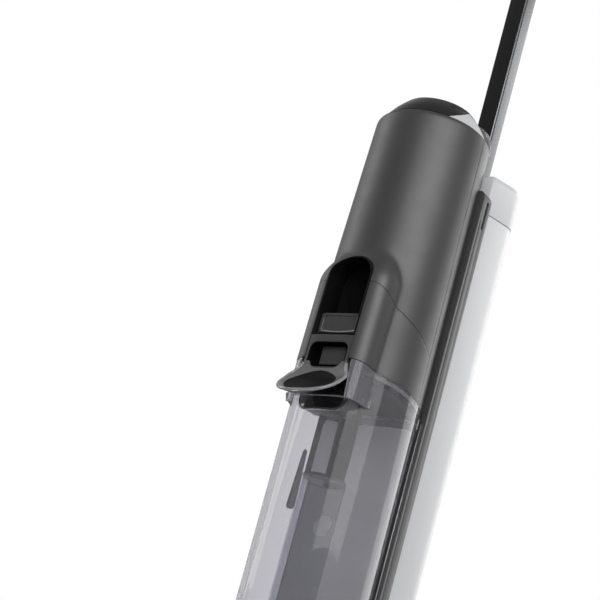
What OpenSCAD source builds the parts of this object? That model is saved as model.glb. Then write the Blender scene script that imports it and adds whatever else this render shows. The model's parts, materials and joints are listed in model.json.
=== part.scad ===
// Cordless upright wet dry floor scrubber: floor head with a driven roller, neck with recline and
// swivel, upright body with a dirty water tank in front and a clean water tank behind, and a
// slim handle tube with a grip. Millimetres, +Z up, floor at z = 0, forward is -Y.

/* [Upright body] */
// Height of the whole machine
total_h = 1100; // [1090:1:1110]
// Distance of the motor housing's axis behind the middle of the footprint
axis_y = 5; // [4:0.5:6]
// Radius of the motor housing at its top edge
housing_top_r = 54; // [53:0.5:55]
// Height of the motor housing's top edge
housing_top_z = 670; // [668:1:672]
// Height of the seam between tank and housing, on the housing's axis
seam_z = 399; // [398:0.5:400]
// Downward tilt of that seam towards the back, degrees
seam_tilt = 7.7; // [7:0.1:8]
// Height of the parting line between the housing shells, on the axis
parting_z = 446; // [444:1:448]
// Tilt of that parting line, degrees
parting_tilt = 29; // [28:0.5:30]
// Plane where the front shells meet the back frame, behind the housing's axis
side_seam = 2; // [1:0.5:3]
// Height of the lower end of both tanks
tank_bottom_z = 150; // [149:0.5:151]
// Wall thickness of the mouldings
wall = 2.4; // [2.2:0.1:2.6]

/* [Hood and release] */
// Half width of the arched opening
arch_half = 23; // [22.5:0.5:23.5]
// Height of the top of the arched opening
arch_top_z = 513; // [510:1:514]
// Half width of the hood
hood_half = 39; // [38.5:0.5:39.5]
// Radius of the hood's front corners
hood_corner = 15; // [13:0.5:17]
// Distance of the hood's front from the housing's axis, at the seam
hood_front = 74.5; // [74:0.5:75]

/* [Dirty water tank] */
// Radius of the tank's round front
tank_r = 58; // [57.5:0.5:58]
// Flat back of the tank, behind the housing's axis
tank_back = 20; // [19:0.5:20]
// Thickness of the clear tank wall
tank_wall = 2.2; // [2:0.1:2.4]
// Outer radius of the riser duct
riser_r = 20; // [19:0.5:20]
// Height of the riser duct's top
riser_top_z = 308; // [300:1:309]
// Half width of the lid's lip
lip_half = 30; // [29:0.5:30]
// Length of the lip down its slope
lip_length = 66; // [62:1:67]

/* [Spine and clean water tank] */
// Half width of the spine
spine_half = 52; // [51.5:0.5:52]
// Front face of the spine, behind the housing's axis
spine_front = 22; // [21.5:0.5:22]
// Half width of the rear column
column_half = 54; // [53:0.5:55]
// Front face of the rear column, behind the housing's axis
column_front = 37; // [36:0.2:38]
// Back of the rear column, behind the housing's axis
column_back = 107; // [106:0.5:108]
// Radius of the rear column's back corners
column_corner = 32; // [30:0.5:32]
// Height of the line where the clean tank ends and the rear cap starts, at the column's front
cap_line_z = 608; // [606:1:609]

/* [Handle] */
// Width of the handle tube
tube_w = 19; // [18:0.5:20]
// Depth of the handle tube
tube_d = 18; // [17:0.5:18]
// Distance of the handle tube behind the housing's axis
tube_y = 87.5; // [87:0.5:88]
// How far the grip leans back over its length
grip_lean = 31; // [30:0.5:31]

/* [Floor head] */
// Width of the floor head
foot_w = 270; // [268:1:272]
// Distance of the roller's axis in front of the middle of the footprint
roller_y = 104; // [103:0.5:104]
// Radius over the roller's fabric
roller_r = 30; // [29:0.5:30]
// Radius of the rear wheels
wheel_r = 22; // [20:0.5:22]
// Distance of the recline pivot behind the middle of the footprint
pivot_y = 50; // [49:0.5:51]
// Height of the recline pivot
pivot_z = 62; // [61:0.5:63]
// Distance of the swivel axis behind the middle of the footprint
swivel_y = 25; // [24:0.5:26]

/* [Hidden] */
$fn = 96;
fit = 0.05;        // radial clearance of a running fit
gap = 0.5;         // free space round a piece that lifts or slides out
big = 400;         // larger than any section of the machine

// motor housing: a slender cone that leans back a little, built in its own frame
cone_z = 380;
cone_shift = 8;
cone_lean = atan(cone_shift / (housing_top_z - cone_z));
cone_h = norm([cone_shift, housing_top_z - cone_z]);
edge_r = 6;
top_ring_r = 50;
lens_r = 32;
cap_rise = 21.6;
hood_lean = 1.4;
hood_top_z = 540;
hood_brow = 23.4;

// dirty water tank
tank_floor_z = tank_bottom_z + 3;
seal_t = 2.5;
plug_inset = tank_wall + seal_t;
lid_t = 16;
riser_y = -27;
guide_y = -11;
filter_y = -5;
filter_r = 16;
collar_y = 31.7;
collar_z = 667;
collar_rise = 62.2;
float_z = 313.4;
float_h = 34;
collar_half = arch_half - gap;
collar_top_z = 431;
lip_slope = 45.6;

// rear column
cap_line_tilt = 9;
crown_tilt = 10.5;
crown_z = 650;
port_z = 540;
tube_bottom_z = 624;

// grip: a vertical collar, then a leaning part
grip_z0 = 905;
grip_z1 = 940;
grip_z2 = total_h - 16;
grip_angle = atan(grip_lean / (grip_z2 - grip_z1));

// floor head
foot_half = foot_w / 2;
roller_z = roller_r;
chamber_r = roller_r + 3.5;
cover_r = roller_r + 6;
deck_z = 10;
side_z = 46;
foot_back = 86;
wheel_y = 74;
wheel_in = 88;
wheel_out = 110;
motor_y = -30;
motor_z = 36;
big_pulley_r = 18;
small_pulley_r = 9;
inner_left = -116;
inner_right = 118;
base_bottom_z = 126;
socket_top_z = 138;

// ---------- shared shapes ----------

module at_axis() {
    translate([0, axis_y, 0])
        children();
}

module housing_frame() {
    translate([0, axis_y - cone_shift, cone_z])
        rotate([-cone_lean, 0, 0])
            children();
}

function cone_r(h) = tank_r - (tank_r - housing_top_r) * h / cone_h;

// solid of the motor housing, grown or shrunk all round
module housing_solid(grow) {
    edge_c = cone_r(cone_h) - edge_r;
    housing_frame()
        rotate_extrude()
            polygon(concat(
                [[0, 0], [tank_r + grow, 0]],
                [for (a = [0:15:90]) [
                    edge_c + (edge_r + grow) * cos(a),
                    cone_h - edge_r + (edge_r + grow) * sin(a)
                ]],
                [[0, cone_h + grow]]
            ));
}

// solid of the hood that swells out of the housing's front
module hood_solid(grow) {
    depth = hood_front + 10;
    difference() {
        intersection() {
            at_axis()
                translate([0, -hood_front, seam_z])
                    rotate([-hood_lean, 0, 0])
                        translate([0, depth / 2, -30])
                            linear_extrude(180)
                                rounded_rect(
                                    2 * (hood_half + grow), depth + 2 * grow, hood_corner + grow
                                );
            along_y(-90, 30)
                arch_outline(hood_half + grow, hood_top_z + grow, 360);
        }
        at_axis()
            translate([0, -72 - grow, 500])
                rotate([-hood_brow, 0, 0])
                    translate([-big / 2, -big, -big / 2])
                        cube([big, big, big]);
    }
}

module arch_outline(half, top, bottom) {
    translate([0, top - half])
        circle(half);
    translate([-half, bottom])
        square([2 * half, top - half - bottom]);
}

// extrudes an outline given in X and Z along Y, in the axis frame
module along_y(y0, y1) {
    at_axis()
        translate([0, y1, 0])
            rotate([90, 0, 0])
                linear_extrude(y1 - y0)
                    children();
}

// extrudes an outline given in Y and Z along X
module along_x(x0, x1) {
    translate([x0, 0, 0])
        rotate([90, 0, 90])
            linear_extrude(x1 - x0)
                children();
}

module above_plane(z, tilt) {
    translate([0, axis_y, z])
        rotate([-tilt, 0, 0])
            translate([-big / 2, -big / 2, 0])
                cube([big, big, big]);
}

module below_plane(z, tilt) {
    translate([0, axis_y, z])
        rotate([-tilt, 0, 0])
            translate([-big / 2, -big / 2, -big])
                cube([big, big, big]);
}

module rounded_rect(w, d, r) {
    square([w - 2 * r, d], center = true);
    square([w, d - 2 * r], center = true);
    for (sx = [-1, 1], sy = [-1, 1])
        translate([sx * (w / 2 - r), sy * (d / 2 - r)])
            circle(r);
}

// ---------- motor housing ----------

// the motor housing as far down as its seam with the tank
module housing_body(grow) {
    difference() {
        housing_solid(grow);
        below_plane(seam_z, seam_tilt);
    }
}

module back_half() {
    at_axis()
        translate([-big / 2, side_seam, 0])
            cube([big, big, 900]);
}

module housing_shell() {
    difference() {
        union() {
            housing_solid(0);
            hood_solid(0);
        }
        housing_solid(-wall);
        hood_solid(-wall);
        housing_frame()
            cylinder(r = top_ring_r - 2, h = cone_h + 10);
        along_y(-90, -38)
            arch_outline(arch_half, arch_top_z, cone_z - 40);
        below_plane(seam_z, seam_tilt);
    }
}

module upper_housing() {
    color("#2d2d30")
        difference() {
            housing_shell();
            below_plane(parting_z, parting_tilt);
            back_half();
        }
}

module lower_housing() {
    color("#303033")
        difference() {
            housing_shell();
            above_plane(parting_z, parting_tilt);
            back_half();
        }
}

// black liner of the finger recess, open to the front
module hood_pocket() {
    liner = 1.8;
    floor_z = collar_top_z + 0.6;
    color("#0c0c0d")
        difference() {
            intersection() {
                along_y(-hood_front, -44)
                    arch_outline(arch_half, arch_top_z, floor_z);
                hood_solid(-0.6);
            }
            along_y(-90, -46)
                arch_outline(arch_half - liner, arch_top_z - liner, floor_z + liner);
            along_y(-60, -30)
                translate([0, 444])
                    circle(3 + fit);
        }
}

// glossy plate that lets the dirty tank go, on a guide stem
module tank_button() {
    color("#1a1a1d") {
        along_y(-67, -63)
            translate([0, 444])
                rounded_rect(2 * arch_half - 6, 20, 2);
        along_y(-63, -41)
            translate([0, 444])
                circle(3);
    }
}

// ---------- display cap on the housing ----------

module cap_cone() {
    housing_frame()
        rotate_extrude()
            polygon([
                [top_ring_r, cone_h], [lens_r + 2, cone_h + cap_rise],
                [lens_r, cone_h + cap_rise], [lens_r, cone_h + cap_rise - 2],
                [top_ring_r - 2.6, cone_h]
            ]);
}

module cap_cut(side) {
    at_axis()
        translate([0, -31.3, housing_top_z])
            rotate([31.4, 0, 0])
                translate([-big / 2, -big / 2, side > 0 ? 0 : -big])
                    cube([big, big, big]);
}

module display_ring() {
    color("#0a0a0b")
        intersection() {
            cap_cone();
            cap_cut(1);
        }
}

module trim_crescent() {
    color("#c9cbcf")
        intersection() {
            cap_cone();
            cap_cut(-1);
        }
}

module display_lens() {
    color("#050506")
        housing_frame()
            translate([0, 0, cone_h + cap_rise - 2])
                cylinder(r = lens_r, h = 2);
}

module display_board() {
    color("#1e5b34")
        housing_frame()
            translate([0, 0, cone_h - 8])
                difference() {
                    cylinder(r = 40, h = 1.6);
                    for (a = [45:90:315])
                        rotate(a)
                            translate([34, 0, -1])
                                cylinder(r = 1.6, h = 4);
                }
}

// ---------- inside the housing ----------

module motor_frame() {
    housing_frame()
        translate([0, 8, 0])
            children();
}

module suction_motor() {
    color("#8f9296")
        motor_frame()
            difference() {
                union() {
                    translate([0, 0, 66])
                        cylinder(r = 34, h = 22);
                    translate([0, 0, 88])
                        cylinder(r = 30, h = 66);
                    translate([0, 0, 154])
                        cylinder(r = 12, h = 8);
                }
                translate([0, 0, 69])
                    cylinder(r = 32, h = 15);
                translate([0, 0, 60])
                    cylinder(r = 15, h = 12);
                translate([0, 0, 80])
                    cylinder(r = 3 + fit, h = 40);
            }
}

module impeller() {
    color("#d8dadd")
        motor_frame() {
            translate([0, 0, 79])
                cylinder(r = 30, h = 2);
            translate([0, 0, 71])
                cylinder(r = 6, h = 8);
            translate([0, 0, 81])
                cylinder(r = 3, h = 34);
            for (a = [0:40:320])
                rotate(a)
                    translate([5, -0.7, 72])
                        cube([23, 1.4, 7]);
        }
}

module motor_mounts() {
    color("#161617")
        motor_frame()
            for (h = [98, 138])
                translate([0, 0, h])
                    difference() {
                        cylinder(r = 38, h = 8);
                        translate([0, 0, -1])
                            cylinder(r = 30, h = 10);
                    }
}

module exhaust_filter() {
    color("#d9d4c3")
        housing_frame()
            translate([0, 0, 166])
                difference() {
                    cylinder(r = 46, h = 10);
                    translate([0, 8, -1])
                        cylinder(r = 14, h = 12);
                }
}

module battery_pack() {
    cell_r = 9.2;
    color("#2f6db3")
        housing_frame()
            translate([0, -8, 180]) {
                for (i = [-1:1], j = [-1:1])
                    translate([i * (2 * cell_r + 0.6), j * (2 * cell_r + 0.6), 3])
                        cylinder(r = cell_r, h = 72);
                for (h = [0, 75])
                    translate([-29, -29, h])
                        cube([58, 58, 3]);
            }
}

module main_board() {
    color("#1e5b34")
        housing_frame()
            translate([-30, 26, 182]) {
                cube([60, 1.6, 76]);
                for (i = [0:2])
                    translate([8 + 16 * i, 1.6, 12])
                        cube([10, 7, 14]);
            }
}

// ---------- spine and rear column ----------

// raised collar round the back of the display cap
module rear_collar() {
    difference() {
        housing_frame()
            translate([0, 0, cone_h - 12])
                difference() {
                    cylinder(r = housing_top_r, h = 60);
                    translate([0, 0, -1])
                        cylinder(r = housing_top_r - wall, h = 62);
                }
        at_axis()
            translate([0, collar_y, collar_z])
                rotate([collar_rise, 0, 0])
                    translate([-big / 2, -big, -0.01])
                        cube([big, 2 * big, big]);
    }
}

// back frame: a slab behind the tank, and above it the back half of the motor housing
module spine() {
    side = 2 * spine_half;
    height = 625 - tank_bottom_z;
    color("#242427") {
        rear_collar();
        difference() {
            union() {
                along_y(spine_front, column_front)
                    translate([0, tank_bottom_z + height / 2])
                        rounded_rect(side, height, 8);
                intersection() {
                    housing_body(0);
                    back_half();
                }
            }
            housing_body(-wall);
            housing_frame()
                cylinder(r = top_ring_r - 2, h = cone_h + 10);
            at_axis()
                for (sx = [-1, 1])
                    translate([sx * spine_half, 30.5, 602])
                        cube([4, 3, 28], center = true);
            body_screw_holes(1.6);
        }
    }
}

module side_seals() {
    color("#e6e7e9")
        at_axis()
            for (sx = [-1, 1])
                translate([sx * 49 - 1, spine_front - 1.5, 165])
                    cube([2, 1.5, 222]);
}

module column_outline(inset) {
    r = column_corner - inset;
    mid = column_back - column_corner;
    front = column_front + inset;
    translate([-column_half + inset, front])
        square([2 * (column_half - inset), mid - front]);
    translate([-column_half + column_corner, front])
        square([2 * (column_half - column_corner), column_back - inset - front]);
    for (sx = [-1, 1])
        translate([sx * (column_half - column_corner), mid])
            circle(r);
}

module column_solid(inset, z0, z1) {
    at_axis()
        translate([0, 0, z0])
            linear_extrude(z1 - z0)
                column_outline(inset);
}

// everything above or below the slanting line between clean tank and rear cap
module cap_line(side, shift) {
    translate([0, axis_y + column_front, cap_line_z + shift])
        rotate([cap_line_tilt, 0, 0])
            translate([-big / 2, -big / 2, side > 0 ? 0 : -big])
                cube([big, big, big]);
}

module crown_cut(shift) {
    translate([0, axis_y + column_front, crown_z + shift])
        rotate([crown_tilt, 0, 0])
            translate([-big / 2, -big / 2, 0])
                cube([big, big, big]);
}

module rear_cap() {
    color("#eeeff0")
        difference() {
            column_solid(0, cap_line_z - 20, 690);
            cap_line(-1, 0.4);
            crown_cut(0);
            housing_body(0);
            difference() {
                column_solid(wall, cap_line_z - 30, 690);
                crown_cut(-3);
                housing_body(wall);
            }
            at_axis()
                translate([0, tube_y, 600])
                    linear_extrude(100)
                        rounded_rect(tube_w + 4, tube_d + 3, 4);
            button_slot(gap);
        }
}

module button_slot(room) {
    along_y(94, 112)
        translate([0, 636])
            rounded_rect(24 + 2 * room, 12 + 2 * room, 3);
}

module clean_tank_button() {
    color("#2a2a2d")
        difference() {
            intersection() {
                button_slot(0);
                column_solid(0.4, 600, 690);
            }
            along_y(90, 101.5)
                translate([0, 636])
                    square(60, center = true);
        }
}

module tube_socket() {
    color("#18181a")
        at_axis()
            translate([0, tube_y, tube_bottom_z - 4])
                difference() {
                    linear_extrude(42)
                        rounded_rect(tube_w + 4, tube_d + 3, 4);
                    translate([0, 0, 3.8])
                        linear_extrude(50)
                            rounded_rect(tube_w + 2 * fit, tube_d + 2 * fit, 3);
                }
}

module clean_tank() {
    color("#f2f3f4")
        difference() {
            column_solid(0.4, tank_bottom_z + 0.4, 640);
            cap_line(1, -0.3);
            housing_body(0.8);
            difference() {
                column_solid(0.4 + tank_wall, tank_floor_z, 640);
                cap_line(1, -2.8);
                housing_solid(0.8 + tank_wall);
            }
            along_y(column_back - 10, column_back + 2)
                translate([0, port_z])
                    circle(12);
            at_axis()
                translate([0, 75, tank_bottom_z - 1])
                    cylinder(r = 6, h = 6);
        }
}

module tank_valve() {
    color("#3a3a3d")
        at_axis()
            translate([0, 75, tank_bottom_z + 0.4]) {
                cylinder(r = 6, h = 2.6);
                translate([0, 0, 2.6])
                    cylinder(r = 9, h = 5);
            }
}

// soft flap over the fill port, hinged along its top edge
module fill_flap() {
    color("#8b8d91") {
        along_y(column_back, column_back + 2.6)
            translate([0, port_z])
                circle(15);
        along_y(column_back - 2, column_back)
            translate([0, port_z])
                circle(10);
        along_y(column_back, column_back + 2.6)
            translate([0, port_z + 14.5])
                square([16, 6], center = true);
        along_x(-10, 10)
            translate([axis_y + column_back + 1.3, port_z + 18])
                circle(1.3);
    }
}

module body_screw_holes(r) {
    at_axis()
        for (x = [-44, 44], y = [29.5])
            translate([x, y, base_bottom_z - 1])
                cylinder(r = r, h = 40);
}

module body_screws() {
    color("#b9bcc0")
        at_axis()
            for (x = [-44, 44], y = [29.5])
                translate([x, y, base_bottom_z + 0.5]) {
                    cylinder(r = 3.5, h = 3);
                    translate([0, 0, 3])
                        cylinder(r = 1.6, h = 32);
                }
}

// foot of the upright: carries both tanks and turns on the neck
module body_base() {
    plate_h = tank_bottom_z - base_bottom_z;
    swivel = swivel_y - axis_y;
    color("#242427")
        difference() {
            at_axis()
                translate([0, 0, base_bottom_z])
                    linear_extrude(plate_h) {
                        tank_outline(0);
                        column_outline(0);
                        translate([-spine_half, 0])
                            square([2 * spine_half, column_front]);
                    }
            at_axis()
                translate([0, swivel, base_bottom_z - 1])
                    cylinder(r = 24 + fit, h = socket_top_z - base_bottom_z + 1);
            at_axis()
                translate([0, swivel, socket_top_z - 1])
                    cylinder(r = 13, h = 9);
            at_axis()
                translate([-13, riser_y, socket_top_z + 1.4])
                    cube([26, swivel - riser_y, 6.6]);
            at_axis()
                translate([0, riser_y, socket_top_z + 1.4])
                    cylinder(r = riser_r - 2, h = 20);
            at_axis()
                for (x = [-44, 44], y = [29.5])
                    translate([x, y, base_bottom_z - 1])
                        cylinder(r = 3.5, h = 4.5);
            body_screw_holes(1.6);
        }
}

// ---------- dirty water tank ----------

module tank_outline(inset) {
    intersection() {
        translate([0, -cone_shift])
            circle(tank_r - inset);
        translate([-big / 2, -big])
            square([big, big + tank_back - inset]);
    }
}

module tank_solid(inset, z0, z1) {
    at_axis()
        translate([0, 0, z0])
            linear_extrude(z1 - z0)
                tank_outline(inset);
}

module dirty_tank() {
    color([0.55, 0.56, 0.6, 0.45])
        difference() {
            tank_solid(0, tank_bottom_z + 0.4, 430);
            tank_solid(tank_wall, tank_floor_z, 440);
            above_plane(seam_z - 0.5, seam_tilt);
            at_axis()
                translate([-lip_half - 1, -tank_r - 20, 391])
                    cube([2 * lip_half + 2, 40, 60]);
            at_axis()
                translate([0, riser_y, tank_bottom_z - 1])
                    cylinder(r = riser_r - 2, h = 6);
        }
}

module riser_tube() {
    color([0.42, 0.43, 0.47, 0.6])
        at_axis()
            translate([0, riser_y, tank_floor_z])
                difference() {
                    cylinder(r = riser_r, h = riser_top_z - tank_floor_z);
                    translate([0, 0, -1])
                        cylinder(r = riser_r - 1.6, h = riser_top_z - tank_floor_z - 5);
                    translate([0, 0, riser_top_z - tank_floor_z - 40])
                        rotate([-90, 0, 0])
                            cylinder(r = 10, h = 40);
                }
}

module lid_plug() {
    difference() {
        tank_solid(plug_inset, 350, 430);
        above_plane(seam_z - 0.6, seam_tilt);
        below_plane(seam_z - lid_t, seam_tilt);
    }
}

// plug, finger well under it and the collar that stands in the arched opening
module tank_lid() {
    color("#111113")
        difference() {
            union() {
                lid_plug();
                intersection() {
                    tank_solid(plug_inset, 363, 430);
                    at_axis()
                        translate([-24, -70, 363])
                            cube([48, 32, 30]);
                }
                intersection() {
                    at_axis()
                        translate([-collar_half, -90, 396])
                            cube([2 * collar_half, 46, collar_top_z - 396]);
                    hood_solid(-0.4);
                    at_axis()
                        translate([-big / 2, -72.5, 0])
                            cube([big, big, 600]);
                }
            }
            along_y(-90, -60)
                translate([0, 413])
                    rounded_rect(34, 20, 6);
            at_axis()
                translate([0, filter_y, seam_z - 9])
                    cylinder(r = filter_r + 0.2, h = 30);
            at_axis()
                for (x = [-10, 10])
                    translate([x, 0, 360])
                        cylinder(r = 4, h = 60);
            at_axis()
                translate([-17, -56, 360])
                    cube([34, 15, 20]);
        }
}

module lid_seal() {
    color("#2b2b2e")
        difference() {
            tank_solid(tank_wall, 350, 430);
            tank_solid(plug_inset, 340, 440);
            above_plane(seam_z - 5, seam_tilt);
            below_plane(seam_z - 10, seam_tilt);
            at_axis()
                translate([-lip_half - 1, -tank_r - 20, 388])
                    cube([2 * lip_half + 2, 40, 60]);
        }
}

// tongue that slopes down and out in front of the tank
module lid_lip() {
    tip = lip_length - lip_half;
    color([0.5, 0.52, 0.55, 0.6])
        difference() {
            at_axis()
                translate([0, -60, 405])
                    rotate([lip_slope, 0, 0])
                        translate([0, 0, -1.8])
                            linear_extrude(3.6) {
                                translate([-lip_half, -tip])
                                    square([2 * lip_half, tip + 6]);
                                translate([0, -tip])
                                    circle(lip_half);
                            }
            above_plane(seam_z - 0.6, seam_tilt);
            at_axis()
                translate([-big / 2, -tank_r - cone_shift + 0.5, 0])
                    cube([big, big, 600]);
            at_axis()
                translate([-collar_half - 0.1, -90, 396])
                    cube([2 * collar_half + 0.2, 46, 60]);
        }
}

module dry_filter() {
    color("#c9c4b2")
        at_axis()
            translate([0, filter_y, seam_z - 9])
                cylinder(r = filter_r, h = 7);
}

module float_guide() {
    color("#1c1c1f")
        at_axis()
            translate([0, guide_y, 0])
                difference() {
                    union() {
                        translate([0, 0, float_z - 3.4])
                            cylinder(r = 5, h = 3);
                        translate([0, 0, float_z - 2])
                            cylinder(r = 2.5, h = 60);
                        translate([0, 0, 367])
                            cylinder(r = 5.5, h = 50);
                    }
                    translate([0, -guide_y - axis_y, 0])
                        above_plane(seam_z - lid_t, seam_tilt);
                }
}

module float_sleeve() {
    color("#2a2a2d")
        at_axis()
            translate([0, guide_y, float_z])
                difference() {
                    cylinder(r = 5.5, h = float_h);
                    translate([0, 0, -1])
                        cylinder(r = 2.5 + fit, h = float_h + 2);
                }
}

// ---------- handle ----------

module handle_tube() {
    color("#b4b6ba")
        difference() {
            at_axis()
                translate([0, tube_y, tube_bottom_z])
                    linear_extrude(930 - tube_bottom_z)
                        difference() {
                            rounded_rect(tube_w, tube_d, 3);
                            rounded_rect(tube_w - 3.2, tube_d - 5.2, 1.5);
                        }
            at_axis()
                translate([-8.4, tube_y - tube_d / 2 - 1, 668])
                    cube([16.8, 2, grip_z0 - 668]);
            along_y(tube_y, tube_y + tube_d)
                translate([0, 690])
                    circle(4 + fit);
        }
}

module tube_strip() {
    color("#0c0c0d")
        at_axis()
            translate([-8.4, tube_y - tube_d / 2, 668])
                cube([16.8, 1, grip_z0 - 668]);
}

module tube_lock_button() {
    color("#2a2a2d")
        along_y(tube_y + 2.4, tube_y + tube_d / 2 + 1.6)
            translate([0, 690])
                circle(4);
}

function grip_r(z) = 14 + 2.5 * (z - grip_z1) / (grip_z2 - grip_z1);
function grip_off(z) = grip_lean * (z - grip_z1) / (grip_z2 - grip_z1);

module grip_disc(z, r, y) {
    translate([0, y, z])
        cylinder(r = r, h = 0.6, $fn = 32);
}

module grip_solid(inset) {
    at_axis()
        translate([0, tube_y, 0]) {
            hull() {
                grip_disc(grip_z0 + inset, 13 - inset, 0);
                grip_disc(grip_z1, 14 - inset, 0);
            }
            hull() {
                grip_disc(grip_z1, 14 - inset, 0);
                grip_disc(grip_z2 - 1, grip_r(grip_z2) - inset, grip_lean);
                translate([0, grip_lean, grip_z2 - 0.5])
                    sphere(r = grip_r(grip_z2) - inset, $fn = 32);
            }
        }
}

// region in front of the line where the two grip shells meet
module grip_front_region() {
    along_x(-60, 60)
        translate([axis_y + tube_y, 0])
            polygon([
                [-90, 880], [0, 880], [0, grip_z1], [grip_lean, grip_z2],
                [grip_lean + 8, total_h + 30], [-90, total_h + 30]
            ]);
}

module grip_hollow() {
    grip_solid(2.4);
    at_axis()
        translate([0, tube_y, grip_z0 - 1])
            linear_extrude(32)
                rounded_rect(tube_w, tube_d, 3);
}

// places its children on the leaning front of the grip, at height z; local -Y faces out
module on_grip(z) {
    at_axis()
        translate([0, tube_y + grip_off(z), z])
            rotate([-grip_angle, 0, 0])
                children();
}

module button_bore(z, r) {
    on_grip(z)
        rotate([90, 0, 0])
            cylinder(r = r, h = 40);
}

module grip_front() {
    color("#29292c")
        difference() {
            intersection() {
                grip_solid(0);
                grip_front_region();
            }
            grip_hollow();
            button_bore(1056, 7.3);
            button_bore(1030, 5.8);
            button_bore(1008, 5.8);
        }
}

module grip_rear() {
    color("#232326")
        difference() {
            grip_solid(0);
            grip_front_region();
            grip_hollow();
        }
}

module grip_button(z, r) {
    on_grip(z)
        rotate([90, 0, 0])
            translate([0, 0, grip_r(z) - 6])
                cylinder(r = r, h = 7);
}

module power_button() {
    color("#c9cbcf")
        grip_button(1056, 7);
}

module clean_button() {
    color("#55575c")
        grip_button(1030, 5.5);
}

module mode_button() {
    color("#55575c")
        grip_button(1008, 5.5);
}

// ---------- neck ----------

module neck_yoke() {
    color("#1f1f22")
        difference() {
            union() {
                along_x(-38, 38)
                    translate([pivot_y, pivot_z])
                        circle(18);
                along_x(-47.5, 47.5)
                    translate([pivot_y, pivot_z])
                        circle(6);
                along_x(-19, 19)
                    polygon([
                        [pivot_y - 16, pivot_z - 7], [pivot_y + 16, pivot_z + 8],
                        [swivel_y + 22, 112], [swivel_y - 22, 112], [swivel_y - 22, 100]
                    ]);
                translate([0, swivel_y, 100])
                    cylinder(r = 24, h = socket_top_z - 100 - 0.5);
            }
            translate([0, swivel_y, 90])
                cylinder(r = 13.2, h = 80);
        }
}

module swivel_collar() {
    color("#3a3a3d")
        translate([0, swivel_y, 116])
            difference() {
                cylinder(r = 29, h = base_bottom_z - 116 - 0.4);
                translate([0, 0, -1])
                    cylinder(r = 24, h = 20);
            }
}

module suction_hose() {
    color("#2a2a2d")
        translate([0, swivel_y, 90])
            difference() {
                union() {
                    cylinder(r = 12.4, h = 47);
                    for (i = [0:7])
                        translate([0, 0, 2 + 5.6 * i])
                            cylinder(r = 13.2, h = 2.6);
                }
                translate([0, 0, -1])
                    cylinder(r = 10.8, h = 60);
            }
}

// ---------- floor head ----------

module cheek_outline() {
    intersection() {
        union() {
            translate([-roller_y, roller_z])
                circle(cover_r);
            translate([-roller_y, 6])
                square([roller_y - 60, roller_z + cover_r - 6]);
        }
        translate([-200, 6])
            square([260, 200]);
    }
}

module foot_block() {
    translate([0, (foot_back - 62) / 2, deck_z])
        linear_extrude(side_z - deck_z)
            rounded_rect(foot_w, foot_back + 62, 14);
}

module foot_base() {
    color("#2b2b2e")
        difference() {
            union() {
                difference() {
                    union() {
                        foot_block();
                        translate([-foot_half, -78, deck_z])
                            cube([foot_w, 32, side_z - deck_z]);
                    }
                    translate([inner_left, -62, deck_z + 3])
                        cube([inner_right - inner_left + 13, 90, 60]);
                    translate([0, 54, deck_z + 3])
                        linear_extrude(60)
                            rounded_rect(foot_w - 6, 58, 11);
                }
                along_x(-foot_half, inner_left)
                    cheek_outline();
                along_x(inner_right, foot_half)
                    cheek_outline();
                for (sx = [-1, 1])
                    translate([sx * 99 - 18, 48, deck_z])
                        cube([36, 35, side_z - deck_z - 2]);
                for (sx = [-1, 1])
                    translate([sx * 44 - 4, 0, 0])
                        along_x(0, 8) {
                            translate([pivot_y, pivot_z])
                                circle(14);
                            translate([pivot_y - 14, deck_z])
                                square([28, pivot_z - deck_z]);
                        }
                translate([-22, -63, deck_z])
                    cube([44, 88, 28]);
            }
            along_x(inner_left, inner_right)
                translate([-roller_y, roller_z])
                    circle(chamber_r);
            along_x(inner_left, inner_right)
                translate([-roller_y - 60, -10])
                    square([86, 40]);
            along_x(-foot_half + 2, inner_left - 3)
                belt_bay_outline();
            along_x(inner_left - 4, inner_left + 1)
                translate([-roller_y, roller_z])
                    circle(10);
            along_x(inner_left - 4, inner_left + 1)
                translate([motor_y, motor_z])
                    circle(4);
            along_x(inner_right - 1, inner_right + 12)
                translate([-roller_y, roller_z])
                    circle(5 + fit);
            for (sx = [-1, 1])
                translate([sx * 99 - 14, 48, -1])
                    cube([28, 60, side_z]);
            wheel_axle_rods();
            along_x(-49, 49)
                translate([pivot_y, pivot_z])
                    circle(6 + fit);
            translate([-19, -90, deck_z + 4])
                cube([38, 130, 20]);
            translate([-112, -71, deck_z - 5])
                cube([224, 3.6, 9]);
        }
}

module belt_bay_outline() {
    hull() {
        translate([-roller_y, roller_z])
            circle(big_pulley_r + 4, $fn = 48);
        translate([motor_y, motor_z])
            circle(small_pulley_r + 6, $fn = 48);
    }
}

module foot_cover_outline(inset) {
    polygon([
        [-59.6 + inset, side_z], [-59.6 + inset, 66 - inset], [-20, 78 - inset],
        [20, 80 - inset], [60, 70 - inset], [foot_back - inset, 54 - inset],
        [foot_back - inset, side_z]
    ]);
}

module foot_cover() {
    color("#2f2f32")
        difference() {
            along_x(-foot_half, foot_half)
                foot_cover_outline(0);
            along_x(-foot_half + wall, foot_half - wall)
                translate([0, -0.01])
                    foot_cover_outline(wall);
            translate([-50, 14, 0])
                cube([100, 100, 120]);
            translate([-15, -55, 50])
                cube([30, 18, 40]);
            translate([-131, -61, side_z - 1])
                cube([11, 6, 5]);
        }
}

module cover_latch() {
    color("#6f7175")
        along_x(-14, 14)
            polygon([[-54.4, 63], [-54.4, 70.6], [-44, 73.6], [-44, 63]]);
}

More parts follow.
